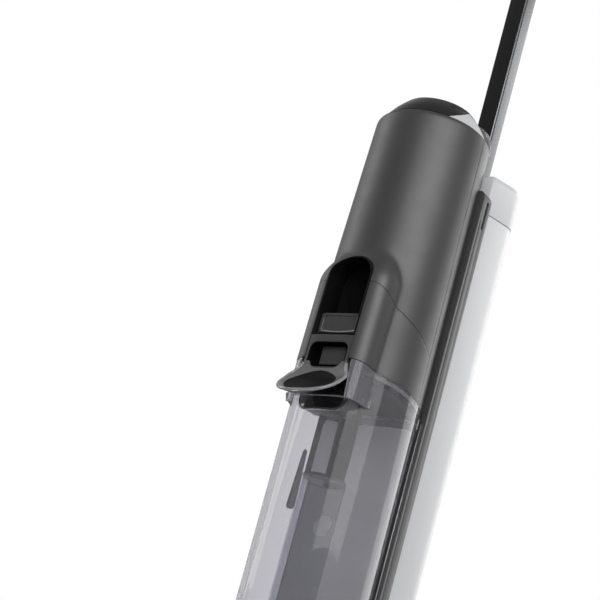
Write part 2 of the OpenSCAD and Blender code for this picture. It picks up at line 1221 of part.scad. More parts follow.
module roller_cover() {
    back = -60.2;
    color([0.2, 0.2, 0.22, 0.7])
        along_x(inner_left + gap, inner_right - gap)
            difference() {
                union() {
                    translate([-roller_y, roller_z])
                        circle(cover_r);
                    translate([-roller_y, roller_z])
                        square([roller_y + back, cover_r]);
                }
                translate([-roller_y, roller_z])
                    circle(chamber_r);
                translate([-roller_y, -100])
                    square([roller_y, 100 + roller_z + chamber_r]);
                translate([-200, -100])
                    square([200, 100 + roller_z - 6]);
            }
}

module brush_core() {
    color("#d0d2d5")
        difference() {
            union() {
                along_x(-113, 115)
                    translate([-roller_y, roller_z])
                        circle(22);
                along_x(-121, -113)
                    translate([-roller_y, roller_z])
                        circle(8);
                along_x(115, 128)
                    translate([-roller_y, roller_z])
                        circle(5);
            }
            along_x(-108, 110)
                translate([-roller_y, roller_z])
                    circle(19);
        }
}

module brush_fabric() {
    color("#7d8088")
        along_x(-112, 114)
            translate([-roller_y, roller_z])
                difference() {
                    circle(roller_r);
                    circle(22);
                }
}

module toothed_pulley(r, teeth) {
    difference() {
        circle(r);
        for (i = [0:teeth - 1])
            rotate(i * 360 / teeth)
                translate([r, 0])
                    circle(0.8);
    }
}

module roller_pulley() {
    color("#e2e3e5")
        along_x(-130, -121)
            translate([-roller_y, roller_z])
                toothed_pulley(big_pulley_r, 36);
}

module motor_pulley() {
    color("#c0c2c6") {
        along_x(-130, -121)
            translate([motor_y, motor_z])
                toothed_pulley(small_pulley_r, 18);
        along_x(-121, -95)
            translate([motor_y, motor_z])
                circle(2.5);
    }
}

module belt_loop(grow) {
    hull() {
        translate([-roller_y, roller_z])
            circle(big_pulley_r + grow, $fn = 48);
        translate([motor_y, motor_z])
            circle(small_pulley_r + grow, $fn = 48);
    }
}

module drive_belt() {
    color("#111112")
        along_x(-129, -122)
            difference() {
                belt_loop(1.9);
                belt_loop(0.4);
            }
}

module brush_motor() {
    color("#9fa2a6")
        difference() {
            along_x(-112, -42)
                translate([motor_y, motor_z])
                    circle(16);
            along_x(-113, -90)
                translate([motor_y, motor_z])
                    circle(2.5 + fit);
        }
}

module water_pump() {
    color("#4a4c50") {
        translate([60, -48, deck_z + 3])
            cube([44, 26, 24]);
        translate([60 + 22, -22, deck_z + 15])
            rotate([-90, 0, 0])
                cylinder(r = 10, h = 26);
    }
}

module squeegee_blade() {
    color("#1a1a1c")
        along_x(-111, 111)
            polygon([
                [-71, deck_z + 4], [-67.4, deck_z + 4], [-67.4, 6],
                [-68.4, 0], [-70, 0], [-71, 6]
            ]);
}

module scraper_bar() {
    color("#505358")
        along_x(-110, 112)
            polygon([
                [-73.5, side_z], [-64, side_z], [-64, 53], [-73.5, 53], [-80.4, 50.6]
            ]);
}

module spray_bar() {
    color("#3a3c40")
        difference() {
            translate([-105, -73, 53])
                cube([210, 8, 7]);
            along_x(-103, 103)
                translate([-69, 56.5])
                    circle(1.6);
            for (i = [-4:4])
                translate([i * 24, -73.5, 56.5])
                    rotate([-90, 0, 0])
                        cylinder(r = 0.7, h = 5);
        }
}

module wheel(x0) {
    difference() {
        along_x(x0, x0 + wheel_out - wheel_in)
            translate([wheel_y, wheel_r])
                circle(wheel_r);
        along_x(x0 - 1, x0 + 60)
            translate([wheel_y, wheel_r])
                circle(3 + fit);
        for (side = [0, 1])
            along_x(x0 - 1 + side * 19, x0 + 4 + side * 19)
                translate([wheel_y, wheel_r])
                    difference() {
                        circle(wheel_r - 4);
                        circle(7);
                    }
    }
}

module wheel_left() {
    color("#1b1b1d")
        wheel(-wheel_out);
}

module wheel_right() {
    color("#1b1b1d")
        wheel(wheel_in);
}

module wheel_axle_rods() {
    for (sx = [-1, 1])
        translate([sx * 99 - 17, 0, 0])
            along_x(0, 34)
                translate([wheel_y, wheel_r])
                    circle(3);
}

module wheel_axles() {
    color("#b9bcc0")
        wheel_axle_rods();
}

upper_housing();
lower_housing();
hood_pocket();
display_ring();
display_lens();
trim_crescent();
display_board();
suction_motor();
motor_mounts();
impeller();
battery_pack();
main_board();
exhaust_filter();
spine();
side_seals();
rear_cap();
tube_socket();
body_base();
body_screws();
tank_button();
dirty_tank();
tank_lid();
lid_seal();
lid_lip();
riser_tube();
float_guide();
float_sleeve();
dry_filter();
clean_tank();
tank_valve();
fill_flap();
clean_tank_button();
handle_tube();
tube_strip();
grip_front();
grip_rear();
power_button();
clean_button();
mode_button();
tube_lock_button();
neck_yoke();
swivel_collar();
suction_hose();
foot_base();
foot_cover();
squeegee_blade();
scraper_bar();
spray_bar();
water_pump();
brush_motor();
motor_pulley();
drive_belt();
roller_cover();
cover_latch();
wheel_left();
wheel_right();
wheel_axles();
brush_core();
brush_fabric();
roller_pulley();
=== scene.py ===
"""Looks of a cordless upright wet dry floor scrubber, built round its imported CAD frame.

Blender units are metres. Shapes are worked out in millimetres, in the upright's own axes: x across,
y back from the motor housing's axis and z above the floor, and pt() turns them into metres.
"""
import json
import math

import bmesh
import bpy
from mathutils import Matrix, Vector

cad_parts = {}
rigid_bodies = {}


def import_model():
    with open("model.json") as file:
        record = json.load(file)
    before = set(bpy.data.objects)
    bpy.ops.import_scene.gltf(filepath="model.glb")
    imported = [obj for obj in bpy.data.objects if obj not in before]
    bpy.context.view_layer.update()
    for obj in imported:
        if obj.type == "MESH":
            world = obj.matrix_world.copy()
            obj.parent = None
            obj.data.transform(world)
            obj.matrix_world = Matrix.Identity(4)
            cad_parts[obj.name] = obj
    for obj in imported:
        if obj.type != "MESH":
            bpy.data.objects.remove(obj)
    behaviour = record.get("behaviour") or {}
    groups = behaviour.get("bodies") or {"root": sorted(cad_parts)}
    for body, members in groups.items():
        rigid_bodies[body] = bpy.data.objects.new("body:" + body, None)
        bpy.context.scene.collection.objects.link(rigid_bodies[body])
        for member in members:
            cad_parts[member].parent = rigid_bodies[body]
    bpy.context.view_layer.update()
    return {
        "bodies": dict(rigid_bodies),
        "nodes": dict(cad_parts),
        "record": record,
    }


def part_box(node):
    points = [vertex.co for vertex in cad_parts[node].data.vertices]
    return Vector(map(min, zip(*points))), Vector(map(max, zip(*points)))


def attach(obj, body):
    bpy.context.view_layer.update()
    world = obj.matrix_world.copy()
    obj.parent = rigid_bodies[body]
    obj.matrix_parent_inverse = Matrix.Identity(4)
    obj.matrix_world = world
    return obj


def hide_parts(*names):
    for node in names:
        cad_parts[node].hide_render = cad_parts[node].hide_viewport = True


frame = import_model()
NODES = frame["nodes"]
MM = 0.001


def box_mm(node):
    low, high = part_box(node)
    return low / MM, high / MM


# ---------- driving sizes, from the frame ----------

TANK_LOW, TANK_HIGH = box_mm("dirty_tank")
TANK_R = TANK_HIGH.x                     # round front of the dirty water tank
AXIS_SHIFT = 8.0                         # the tank's centre stands this far ahead of the axis
AXIS_Y = TANK_LOW.y + TANK_R + AXIS_SHIFT
TANK_BACK = TANK_HIGH.y - AXIS_Y
TANK_Z = TANK_LOW.z
LENS_HIGH = box_mm("display_lens")[1]
CAP_TOP_Z = LENS_HIGH.z - 0.6
LENS_R = LENS_HIGH.x
RING_R = box_mm("trim_crescent")[1].x
HOUSING_TOP_Z = CAP_TOP_Z - 21.6
HOUSING_TOP_R = 54.0
CONE_Z = 380.0                           # foot of the housing's cone, hidden in the tank
SEAM_Z, SEAM_TILT = 399.0, 7.7           # seam of housing and tank, at the axis, and its fall in degrees
PART_Z, PART_TILT = 446.0, 29.0          # seam of upper and lower housing
SIDE_SEAM = 2.0
GAP = 0.3                                # width of the housing's seams
WALL = 2.4
ARCH_HALF = box_mm("hood_pocket")[1].x
ARCH_TOP_Z = box_mm("hood_pocket")[1].z
POCKET_Z = 411.4                         # middle of the finger pocket in the tank's collar
RISER_R = box_mm("riser_tube")[1].x
RISER_Y, RISER_TOP = -27.0, 308.0
FLOAT_Y = -11.0
SPINE_LOW, SPINE_HIGH = box_mm("spine")
SPINE_FRONT, SPINE_TOP = 22.0, 625.0
COLUMN_LOW, COLUMN_HIGH = box_mm("rear_cap")
COLUMN_FRONT, COLUMN_BACK = COLUMN_LOW.y - AXIS_Y, COLUMN_HIGH.y - AXIS_Y
COLUMN_HALF, COLUMN_TOP = COLUMN_HIGH.x, 650.0
COLUMN_CORNER = 32.0
CAP_LINE_Z, CAP_LINE_TILT = 608.0, 9.0   # line where the clean tank ends and the rear cap starts
TUBE_LOW, TUBE_HIGH = box_mm("handle_tube")
TUBE_Y = (TUBE_LOW.y + TUBE_HIGH.y) / 2 - AXIS_Y
AHEAD = -95.0                            # a plane clear of the front, where cuts from ahead start
TINY = 0.01                              # radius that stands for the axis in a turned profile


def pt(x, y, z):
    """A point given in the upright's axes and millimetres, as metres in the row frame."""
    return Vector((x, y + AXIS_Y, z)) * MM


def smooth(t):
    """Eases t from 0 to 1."""
    t = min(1.0, max(0.0, t))
    return t * t * (3 - 2 * t)


def lerp(a, b, t):
    return a + (b - a) * t


# ---------- materials ----------

class Shade:
    """A Principled material whose colour, roughness and bump can carry procedural detail."""

    def __init__(self, name, colour, rough, metal=0.0):
        self.mat = bpy.data.materials.new(name)
        self.mat.use_nodes = True
        self.tree = self.mat.node_tree
        self.bsdf = self.tree.nodes["Principled BSDF"]
        self.set("Base Color", (*colour, 1.0))
        self.set("Roughness", rough)
        self.set("Metallic", metal)
        self.height = None

    def set(self, socket, value):
        self.bsdf.inputs[socket].default_value = value
        return self

    def new(self, kind, **inputs):
        node = self.tree.nodes.new(kind)
        for key, value in inputs.items():
            node.inputs[key].default_value = value
        return node

    def link(self, a, b):
        self.tree.links.new(a, b)

    def coords(self, scale):
        place = self.new("ShaderNodeTexCoord")
        mapping = self.new("ShaderNodeMapping")
        mapping.inputs["Scale"].default_value = scale
        self.link(place.outputs["Object"], mapping.inputs["Vector"])
        return mapping.outputs["Vector"]

    def noise(self, scale, detail=3.0, stretch=(1, 1, 1)):
        node = self.new("ShaderNodeTexNoise", Scale=scale, Detail=detail)
        self.link(self.coords(stretch), node.inputs["Vector"])
        return node.outputs["Fac"]

    def ramp(self, source, low, high, stops=(0.3, 0.7)):
        node = self.new("ShaderNodeValToRGB")
        for element, place, colour in zip(node.color_ramp.elements, stops, (low, high)):
            element.position = place
            element.color = (*colour, 1.0)
        self.link(source, node.inputs["Fac"])
        return node.outputs["Color"]

    def tint(self, source, low, high, stops=(0.3, 0.7)):
        """Varies the base colour between two colours."""
        self.link(self.ramp(source, low, high, stops), self.bsdf.inputs["Base Color"])
        return self

    def gloss(self, source, low, high):
        """Varies the roughness between two values."""
        node = self.new("ShaderNodeMapRange")
        node.inputs["To Min"].default_value = low
        node.inputs["To Max"].default_value = high
        self.link(source, node.inputs["Value"])
        self.link(node.outputs["Result"], self.bsdf.inputs["Roughness"])
        return self

    def bump(self, source, strength, depth=0.0002):
        node = self.new("ShaderNodeBump")
        node.inputs["Strength"].default_value = strength
        node.inputs["Distance"].default_value = depth
        self.link(source, node.inputs["Height"])
        if self.height is not None:
            self.link(self.height, node.inputs["Normal"])
        self.height = node.outputs["Normal"]
        self.link(self.height, self.bsdf.inputs["Normal"])
        return self


def scaled(colour, k):
    return tuple(min(1.0, c * k) for c in colour)


def moulded(name, colour, rough, grain=900.0, strength=0.12, vary=0.12, shine=0.5):
    """Moulded plastic: fine spark-eroded grain, with slow changes of shade and gloss."""
    s = Shade(name, colour, rough)
    slow = s.noise(14.0)
    s.tint(slow, scaled(colour, 1 - vary), scaled(colour, 1 + vary))
    s.gloss(s.noise(55.0, 4.0), rough - 0.05, rough + 0.06)
    s.bump(s.noise(grain, 2.0), strength)
    s.set("Specular IOR Level", shine)
    return s


def gloss_plastic(name, colour, rough=0.08):
    """Polished plastic: faint orange peel and a thin clear coat."""
    s = Shade(name, colour, rough)
    s.tint(s.noise(9.0), scaled(colour, 0.9), scaled(colour, 1.12))
    s.gloss(s.noise(80.0, 4.0), rough * 0.7, rough * 1.5)
    s.bump(s.noise(160.0, 1.0), 0.03)
    s.set("Coat Weight", 0.4).set("Coat Roughness", 0.05)
    return s


def metal(name, colour, rough, stretch=(1, 1, 1), strength=0.06):
    """Metal or plating, with the brushing running along the axis that isn't stretched."""
    s = Shade(name, colour, rough, metal=1.0)
    grain = s.noise(500.0, 3.0, stretch)
    s.tint(grain, scaled(colour, 0.9), scaled(colour, 1.05))
    s.gloss(s.noise(40.0, 4.0, stretch), rough * 0.8, rough * 1.25)
    s.bump(grain, strength)
    return s


def clear(name, colour, rough=0.03, ior=1.45, through=1.0):
    """Transparent plastic with faint flow marks along its height."""
    s = Shade(name, colour, rough)
    s.tint(s.noise(5.0, 2.0, (1, 1, 0.2)), scaled(colour, 0.97), scaled(colour, 1.03))
    s.gloss(s.noise(30.0, 3.0), rough * 0.7, rough * 1.6)
    s.bump(s.noise(9.0, 1.0, (1, 1, 0.1)), 0.02)
    s.set("Transmission Weight", through).set("IOR", ior)
    return s


def rubbery(name, colour, rough=0.62, grain=1400.0):
    """Rubber: dull, finely pitted, with a little sheen."""
    s = Shade(name, colour, rough)
    s.tint(s.noise(30.0, 4.0), scaled(colour, 0.8), scaled(colour, 1.25))
    s.gloss(s.noise(70.0, 4.0), rough - 0.08, rough + 0.1)
    s.bump(s.noise(grain, 3.0), 0.25)
    s.set("Sheen Weight", 0.08).set("Sheen Roughness", 0.5)
    return s


def pile(name, dark, light):
    """Short microfibre pile: clumps, single fibres and a sheen along the edges."""
    s = Shade(name, dark, 0.85)
    s.tint(s.noise(420.0, 6.0), dark, light)
    s.bump(s.noise(120.0, 4.0), 0.5, 0.001)
    s.bump(s.noise(1500.0, 4.0), 0.8, 0.0006)
    s.set("Sheen Weight", 0.5).set("Sheen Roughness", 0.4)
    return s


def foam(name, dark, light):
    """Open-cell foam."""
    s = Shade(name, dark, 0.95)
    cells = s.new("ShaderNodeTexVoronoi", Scale=700.0)
    s.link(s.coords((1, 1, 1)), cells.inputs["Vector"])
    s.tint(cells.outputs["Distance"], dark, light, (0.1, 0.6))
    s.bump(cells.outputs["Distance"], 0.9, 0.0008)
    return s


def circuit(name):
    """Green solder mask over a grid of tracks."""
    s = Shade(name, (0.02, 0.13, 0.05), 0.32)
    brick = s.new("ShaderNodeTexBrick", Scale=260.0)
    s.link(s.coords((1, 1, 1)), brick.inputs["Vector"])
    s.tint(brick.outputs["Fac"], (0.015, 0.11, 0.045), (0.08, 0.24, 0.09), (0.2, 0.8))
    s.bump(brick.outputs["Fac"], 0.3)
    return s


M = {
    "charcoal": moulded("satin charcoal", (0.034, 0.034, 0.036), 0.5, 1600.0, 0.05, 0.05, 1.0),
    "dark_plastic": moulded("dark moulding", (0.024, 0.024, 0.026), 0.38, 900.0, 0.1, 0.1, 0.8),
    "black_plastic": moulded("black moulding", (0.004, 0.004, 0.0045), 0.3, 1600.0, 0.05),
    "gloss_black": gloss_plastic("gloss black", (0.006, 0.006, 0.007), 0.1),
    "silver": metal("satin plating", (0.86, 0.87, 0.88), 0.2, (1, 1, 6)),
    "chrome": metal("bright plating", (0.92, 0.92, 0.93), 0.07, (1, 1, 1), 0.01),
    "board": circuit("solder mask"),
    "motor_steel": metal("motor can", (0.42, 0.43, 0.45), 0.34, (1, 1, 12)),
    "rubber": rubbery("black rubber", (0.012, 0.012, 0.013)),
    "aluminium": metal("anodised aluminium", (0.7, 0.71, 0.73), 0.26, (14, 14, 0.4)),
    "cell_wrap": gloss_plastic("cell wrap", (0.04, 0.13, 0.38), 0.3),
    "filter_foam": foam("filter foam", (0.3, 0.28, 0.22), (0.62, 0.6, 0.52)),
    "light_strip": moulded("light strip", (0.7, 0.71, 0.73), 0.25, 900.0, 0.05),
    "white": moulded("white gloss", (0.64, 0.645, 0.655), 0.36, 1200.0, 0.03, 0.015, 0.3),
    "steel": metal("turned steel", (0.55, 0.55, 0.57), 0.28, (1, 10, 10)),
    "smoke_clear": clear("smoke clear", (0.77, 0.767, 0.795), 0.015, 1.28, 0.94),
    "clear_lip": clear("clear collar", (0.62, 0.63, 0.65), 0.04, 1.4),
    "smoke_inner": clear("smoke duct", (0.66, 0.66, 0.7), 0.06, 1.25),
    "grey_rubber": rubbery("grey rubber", (0.2, 0.21, 0.22)),
    "grip_rubber": rubbery("soft grip", (0.018, 0.018, 0.02), 0.55, 700.0),
    "grey_button": moulded("grey moulding", (0.1, 0.1, 0.11), 0.35),
    "hose": rubbery("hose rubber", (0.02, 0.02, 0.021), 0.5),
    "smoke_cover": clear("smoke cover", (0.3, 0.3, 0.33), 0.06, 1.4, 0.92),
    "tyre": rubbery("tyre rubber", (0.014, 0.014, 0.015), 0.7),
    "white_core": moulded("core moulding", (0.66, 0.66, 0.68), 0.35),
    "roller_fabric": pile("roller pile", (0.1, 0.105, 0.12), (0.3, 0.31, 0.35)),
    # materials that stand in for a slot's own on some pieces
    "back_panel": moulded("frosted back", (0.52, 0.52, 0.54), 0.4, 700.0, 0.1, 0.08),
    "frost": clear("frosted rim", (0.62, 0.62, 0.66), 0.3, 1.3, 0.7),
    "frost_dark": clear("smoke strip", (0.2, 0.2, 0.22), 0.2, 1.2, 0.6),
    "skirt_clear": clear("clear skirt", (0.48, 0.48, 0.51), 0.06, 1.35, 0.8),
    "rim_clear": clear("clear rim", (0.7, 0.7, 0.72), 0.04, 1.5, 0.7),
    "lip_grey": gloss_plastic("lip moulding", (0.15, 0.15, 0.155), 0.22),
    # Near-black with its reflections turned down: painted shade for the finger pockets, the lip's dished
    # middle and the float tube under the lid.
    "recess": moulded("recess painted shade", (0.0025, 0.0025, 0.003), 0.5, 1600.0, 0.02, 0.02, 0.15),
    "silver_paint": moulded("silver trim", (0.62, 0.625, 0.635), 0.2, 1600.0, 0.01, 0.02, 1.0),
    "tube_metal": metal("brushed tube", (0.17, 0.172, 0.176), 0.34, (14, 14, 0.4)),
    "release": moulded("release moulding", (0.06, 0.06, 0.063), 0.28, 1200.0, 0.05),
    "cap_black": moulded("cap moulding", (0.014, 0.014, 0.015), 0.24, 1600.0, 0.03, 0.05),
}


# ---------- mesh helpers ----------

def add_object(name, verts, faces):
    mesh = bpy.data.meshes.new(name)
    mesh.from_pydata([tuple(v) for v in verts], [], faces)
    mesh.validate()
    obj = bpy.data.objects.new(name, mesh)
    bpy.context.scene.collection.objects.link(obj)
    return obj


def loft(name, rings, cap_start=True, cap_end=True):
    """Joins closed rings of equally many points with quads, and caps the ends with one face each."""
    n = len(rings[0])
    verts = [p for ring in rings for p in ring]
    faces = []
    for i in range(len(rings) - 1):
        for j in range(n):
            k = (j + 1) % n
            faces.append((i * n + j, i * n + k, (i + 1) * n + k, (i + 1) * n + j))
    if cap_start:
        faces.append(tuple(reversed(range(n))))
    if cap_end:
        faces.append(tuple((len(rings) - 1) * n + j for j in range(n)))
    return add_object(name, verts, faces)


def tidy(obj):
    """Welds doubles and turns every face outwards."""
    bm = bmesh.new()
    bm.from_mesh(obj.data)
    bmesh.ops.remove_doubles(bm, verts=bm.verts, dist=1e-6)
    bmesh.ops.recalc_face_normals(bm, faces=bm.faces)
    bm.to_mesh(obj.data)
    bm.free()
    return obj


def bake(obj):
    """Applies the modifiers that obj carries."""
    graph = bpy.context.evaluated_depsgraph_get()
    mesh = bpy.data.meshes.new_from_object(obj.evaluated_get(graph))
    obj.modifiers.clear()
    obj.data = mesh
    return obj


def boolean(obj, cutter, operation="DIFFERENCE"):
    """Cuts, joins or intersects obj with cutter, which is used up."""
    mod = obj.modifiers.new("cut", "BOOLEAN")
    mod.operation = operation
    mod.object = cutter
    mod.solver = "MANIFOLD"
    bake(obj)
    bpy.data.objects.remove(cutter)
    return obj


def half_space(z, tilt, side, y=0.0):
    """A big block above (side 1) or below (side -1) a plane that falls towards the back by tilt."""
    size = 400.0 * MM
    corners = [Vector((a, b, c * side)) * size for a in (-1, 1) for b in (-1, 1) for c in (0, 1)]
    turn = Matrix.Rotation(math.radians(-tilt), 3, "X")
    verts = [turn @ v + pt(0, y, z) for v in corners]
    faces = [(0, 1, 3, 2), (4, 6, 7, 5), (0, 4, 5, 1), (2, 3, 7, 6), (0, 2, 6, 4), (1, 5, 7, 3)]
    return tidy(add_object("block", verts, faces))


def back_block(y, side):
    """A big block behind (side 1) or ahead (side -1) of an upright plane across the machine."""
    return prism("block", [(-400, y), (400, y), (400, y + side * 400), (-400, y + side * 400)], 0, 1300)


def prism(name, outline, z0, z1):
    """Extrudes an outline of x and y upwards."""
    return tidy(loft(name, [[pt(x, y, z) for x, y in outline] for z in (z0, z1)]))


def slab_y(name, outline, y0, y1):
    """Extrudes an outline of x and z along y."""
    return tidy(loft(name, [[pt(x, y, z) for x, z in outline] for y in (y0, y1)]))


def slab_x(name, outline, x0, x1):
    """Extrudes an outline of y and z along x."""
    return tidy(loft(name, [[pt(x, y, z) for y, z in outline] for x in (x0, x1)]))


def block(name, half, y0, y1, z0, z1):
    """A plain block in the middle of the machine, half wide on each side."""
    return prism(name, [(-half, y0), (half, y0), (half, y1), (-half, y1)], z0, z1)


def arc(cx, cy, r, start, end, count):
    """Points of an arc, angles in degrees."""
    return [
        (cx + r * math.cos(math.radians(lerp(start, end, i / count))),
         cy + r * math.sin(math.radians(lerp(start, end, i / count))))
        for i in range(count + 1)
    ]


def rounded(w, d, r, count=8, cx=0.0, cy=0.0):
    """Outline of a rounded rectangle."""
    points = []
    for sx, sy, a in ((1, 1, 0), (-1, 1, 90), (-1, -1, 180), (1, -1, 270)):
        points += arc(cx + sx * (w / 2 - r), cy + sy * (d / 2 - r), r, a, a + 90, count)
    return points


def round_edges(obj, width, segments, angle=38):
    """Rounds the edges sharper than angle, width in millimetres."""
    mod = obj.modifiers.new("edges", "BEVEL")
    mod.width = width * MM
    mod.segments = segments
    mod.limit_method = "ANGLE"
    mod.angle_limit = math.radians(angle)
    mod.use_clamp_overlap = True
    mod.harden_normals = False
    return bake(obj)


def finish_piece(obj, material, body, replaces=()):
    """Gives a piece its material, its shading and its place in the frame."""
    obj.data.shade_smooth()
    obj.data.set_sharp_from_angle(angle=math.radians(35))
    obj.data.materials.clear()
    obj.data.materials.append(M[material].mat)
    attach(obj, body)
    if replaces:
        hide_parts(*replaces)
    return obj


def copy_of(obj, name):
    other = bpy.data.objects.new(name, obj.data.copy())
    bpy.context.scene.collection.objects.link(other)
    return other


def sweep(name, path, section):
    """Carries a section of (side, up) along path; side lies level and up is square to the path."""
    rings = []
    for i, p in enumerate(path):
        way = (path[min(i + 1, len(path) - 1)] - path[max(i - 1, 0)]).normalized()
        side = way.cross(Vector((0, 0, 1)))
        if side.length < 1e-4:
            side = Vector((1, 0, 0))
        side.normalize()
        up = side.cross(way).normalized()
        rings.append([p + (side * s + up * u) * MM for s, u in section])
    return tidy(loft(name, rings))


def revolve(name, profile, count, centre=Vector()):
    """Turns a closed profile of (radius, height) round an upright axis through centre."""
    rings = []
    for i in range(count + 1):
        a = 2 * math.pi * i / count
        rings.append([centre + Vector((r * math.cos(a), r * math.sin(a), h)) * MM for r, h in profile])
    return tidy(loft(name, rings, False, False))


def disc(name, r, low, high, count, centre=Vector()):
    """A solid cylinder."""
    return revolve(name, [(TINY, low), (r, low), (r, high), (TINY, high)], count, centre)


def lay_back(obj, y, z):
    """Lays an upright solid down, so that it runs back from a point in the middle of the machine."""
    obj.data.transform(Matrix.Translation(pt(0, y, z)) @ Matrix.Rotation(math.radians(-90), 4, "X"))
    return obj


# ---------- motor housing ----------

CONE_LEAN = math.atan2(AXIS_SHIFT, HOUSING_TOP_Z - CONE_Z)
CONE_H = math.hypot(AXIS_SHIFT, HOUSING_TOP_Z - CONE_Z)
EDGE_R = 6.0
FRONT_SKIN = 0.3                         # how far the finger opening's rim stays under the skin
COLLAR_Y, COLLAR_Z, COLLAR_RISE = 31.7, 667.0, 1.9


def cone_pt(x, y, h):
    """A point in the housing's leaning frame: x, y from its axis and h up the axis."""
    c, s = math.cos(CONE_LEAN), math.sin(CONE_LEAN)
    return pt(x, -AXIS_SHIFT + y * c + h * s, CONE_Z - y * s + h * c)


def on_cone(obj, h):
    """Stands a solid on the housing's leaning axis, h up it."""
    obj.data.transform(Matrix.Translation(cone_pt(0, 0, h)) @ Matrix.Rotation(-CONE_LEAN, 4, "X"))
    return obj


def cone_r(h):
    """Radius of the bare cone."""
    return TANK_R - (TANK_R - HOUSING_TOP_R) * h / CONE_H


def hood_reach(a, h):
    """Distance from the housing's axis to the boxy hood's skin, at angle a from straight ahead."""
    z = CONE_Z + h + 1.8
    # from 488 mm up, over 60 mm, the hood narrows and draws back into the cone
    brow = smooth((z - 488) / 60)
    half = lerp(39.5, 22, brow)
    front = lerp(-74.5 + (z - SEAM_Z) * 0.025, -48, brow)
    back, squareness = 8.0, 4.4
    mid, deep = (front + back) / 2, (back - front) / 2
    centre = -AXIS_SHIFT + h * math.sin(CONE_LEAN)
    dx, dy = math.sin(a), -math.cos(a)
    low, high = 0.0, 90.0
    for _ in range(34):
        t = (low + high) / 2
        across, along = abs(t * dx / half), abs((centre + t * dy - mid) / deep)
        inside = across ** squareness + along ** squareness < 1
        low, high = (t, high) if inside else (low, t)
    return low


def skin_r(a, h, inset=0.0):
    """Radius of the housing's skin at angle a: a cone with the hood melting into it."""
    base = cone_r(h)
    if math.cos(a) <= 0:
        return base - inset
    reach = hood_reach(a, h)
    soft, near = 2.2, 50.0
    blend = soft * math.log(math.exp((base - near) / soft) + math.exp((reach - near) / soft)) + near
    swell = soft * math.log(2) * math.exp(-abs(base - reach) / soft) * 0.35
    return lerp(base, blend - swell, smooth(math.cos(a) / 0.35)) - inset


def skin_pt(a, h, r):
    """A point at angle a from straight ahead, h up the housing's axis and r from it."""
    return cone_pt(r * math.sin(a), -r * math.cos(a), h)


def skin_angles():
    """Angles round the housing, closer together over the hood."""
    front = [math.radians(d * 1.25) for d in range(-64, 65)]
    back = [math.radians(80 + d * 4) for d in range(1, 50)]
    return front + back


def housing_solid(name, inset=0.0):
    """Closed solid of the whole housing, shrunk by inset."""
    angles = skin_angles()
    first, step = 6, 3.0
    levels = [first + step * i for i in range(int((CONE_H - EDGE_R - first) / step))]
    rings = [[skin_pt(a, h, skin_r(a, h, inset)) for a in angles] for h in levels]
    edge = EDGE_R - inset
    centre = cone_r(CONE_H) - EDGE_R
    for q in range(0, 91, 9):
        r = centre + edge * math.cos(math.radians(q))
        h = CONE_H - EDGE_R + edge * math.sin(math.radians(q))
        rings.append([skin_pt(a, h, r) for a in angles])
    return tidy(loft(name, rings))


def arch(half, top, bottom, count=28):
    """Outline of x and z: a round-topped opening."""
    points = [(half * math.cos(math.pi * i / count), top - half + half * math.sin(math.pi * i / count))
              for i in range(count + 1)]
    return points + [(-half, bottom), (half, bottom)]


def housing_shell():
    """Hollow housing with the finger opening and the thick edge round it."""
    shell = housing_solid("shell")
    boolean(shell, housing_solid("inner", WALL))
    boolean(shell, on_cone(disc("hole", RING_R - 2, 0, 30, 96), CONE_H - 15))
    boolean(shell, slab_y("arch", arch(ARCH_HALF, ARCH_TOP_Z, 340), AHEAD, -38))
    # thick edge round the opening, as deep as a finger's first joint
    rim = slab_y("rim", arch(ARCH_HALF + WALL + 1, ARCH_TOP_Z + WALL + 1, 400), AHEAD, -40)
    boolean(rim, slab_y("arch", arch(ARCH_HALF, ARCH_TOP_Z, 340), AHEAD - 1, -38))
    boolean(rim, housing_solid("skin", FRONT_SKIN), "INTERSECT")
    behind = housing_solid("behind", FRONT_SKIN)
    behind.data.transform(Matrix.Translation((0, 10.5 * MM, 0)))
    boolean(rim, behind)
    boolean(rim, half_space(463, 0, -1))
    boolean(shell, rim, "UNION")
    return shell


def collar_top(y):
    """Height of the rear collar's slanted edge."""
    return COLLAR_Z + COLLAR_RISE * (y - COLLAR_Y)


def rear_collar():
    """Thin wall that rises round the back of the cap, cut to a steep slant."""
    r_out, r_in = HOUSING_TOP_R - 0.02, HOUSING_TOP_R - WALL
    angles = [math.radians(lerp(28, 152, i / 96)) for i in range(97)]
    centre = -AXIS_SHIFT + CONE_H * math.sin(CONE_LEAN)
    low = HOUSING_TOP_Z - 11

    def wall(a, r, up):
        top = max(low + 0.5, collar_top(centre + r_out * math.sin(a)))
        return pt(r * math.cos(a), centre + r * math.sin(a), top if up else low)

    corners = ((r_out, False), (r_out, True), (r_in, True), (r_in, False))
    rings = [[wall(a, r, up) for r, up in corners] for a in angles]
    body = tidy(loft("rear_collar", rings))
    # A thin chrome strip along the collar's top edge is a painted highlight: it stands in for the
    # highlight on the glossy rim.
    edge, r_edge = [], r_out - 0.9
    for a in angles:
        top = collar_top(centre + r_out * math.sin(a))
        if top > HOUSING_TOP_Z - 6:
            edge.append(pt(r_edge * math.cos(a), centre + r_edge * math.sin(a), top - 0.2))
    bright = sweep("collar_highlight_strip", edge, rounded(2.6, 1.4, 0.6, 3))
    finish_piece(bright, "chrome", "upright", ())
    return body


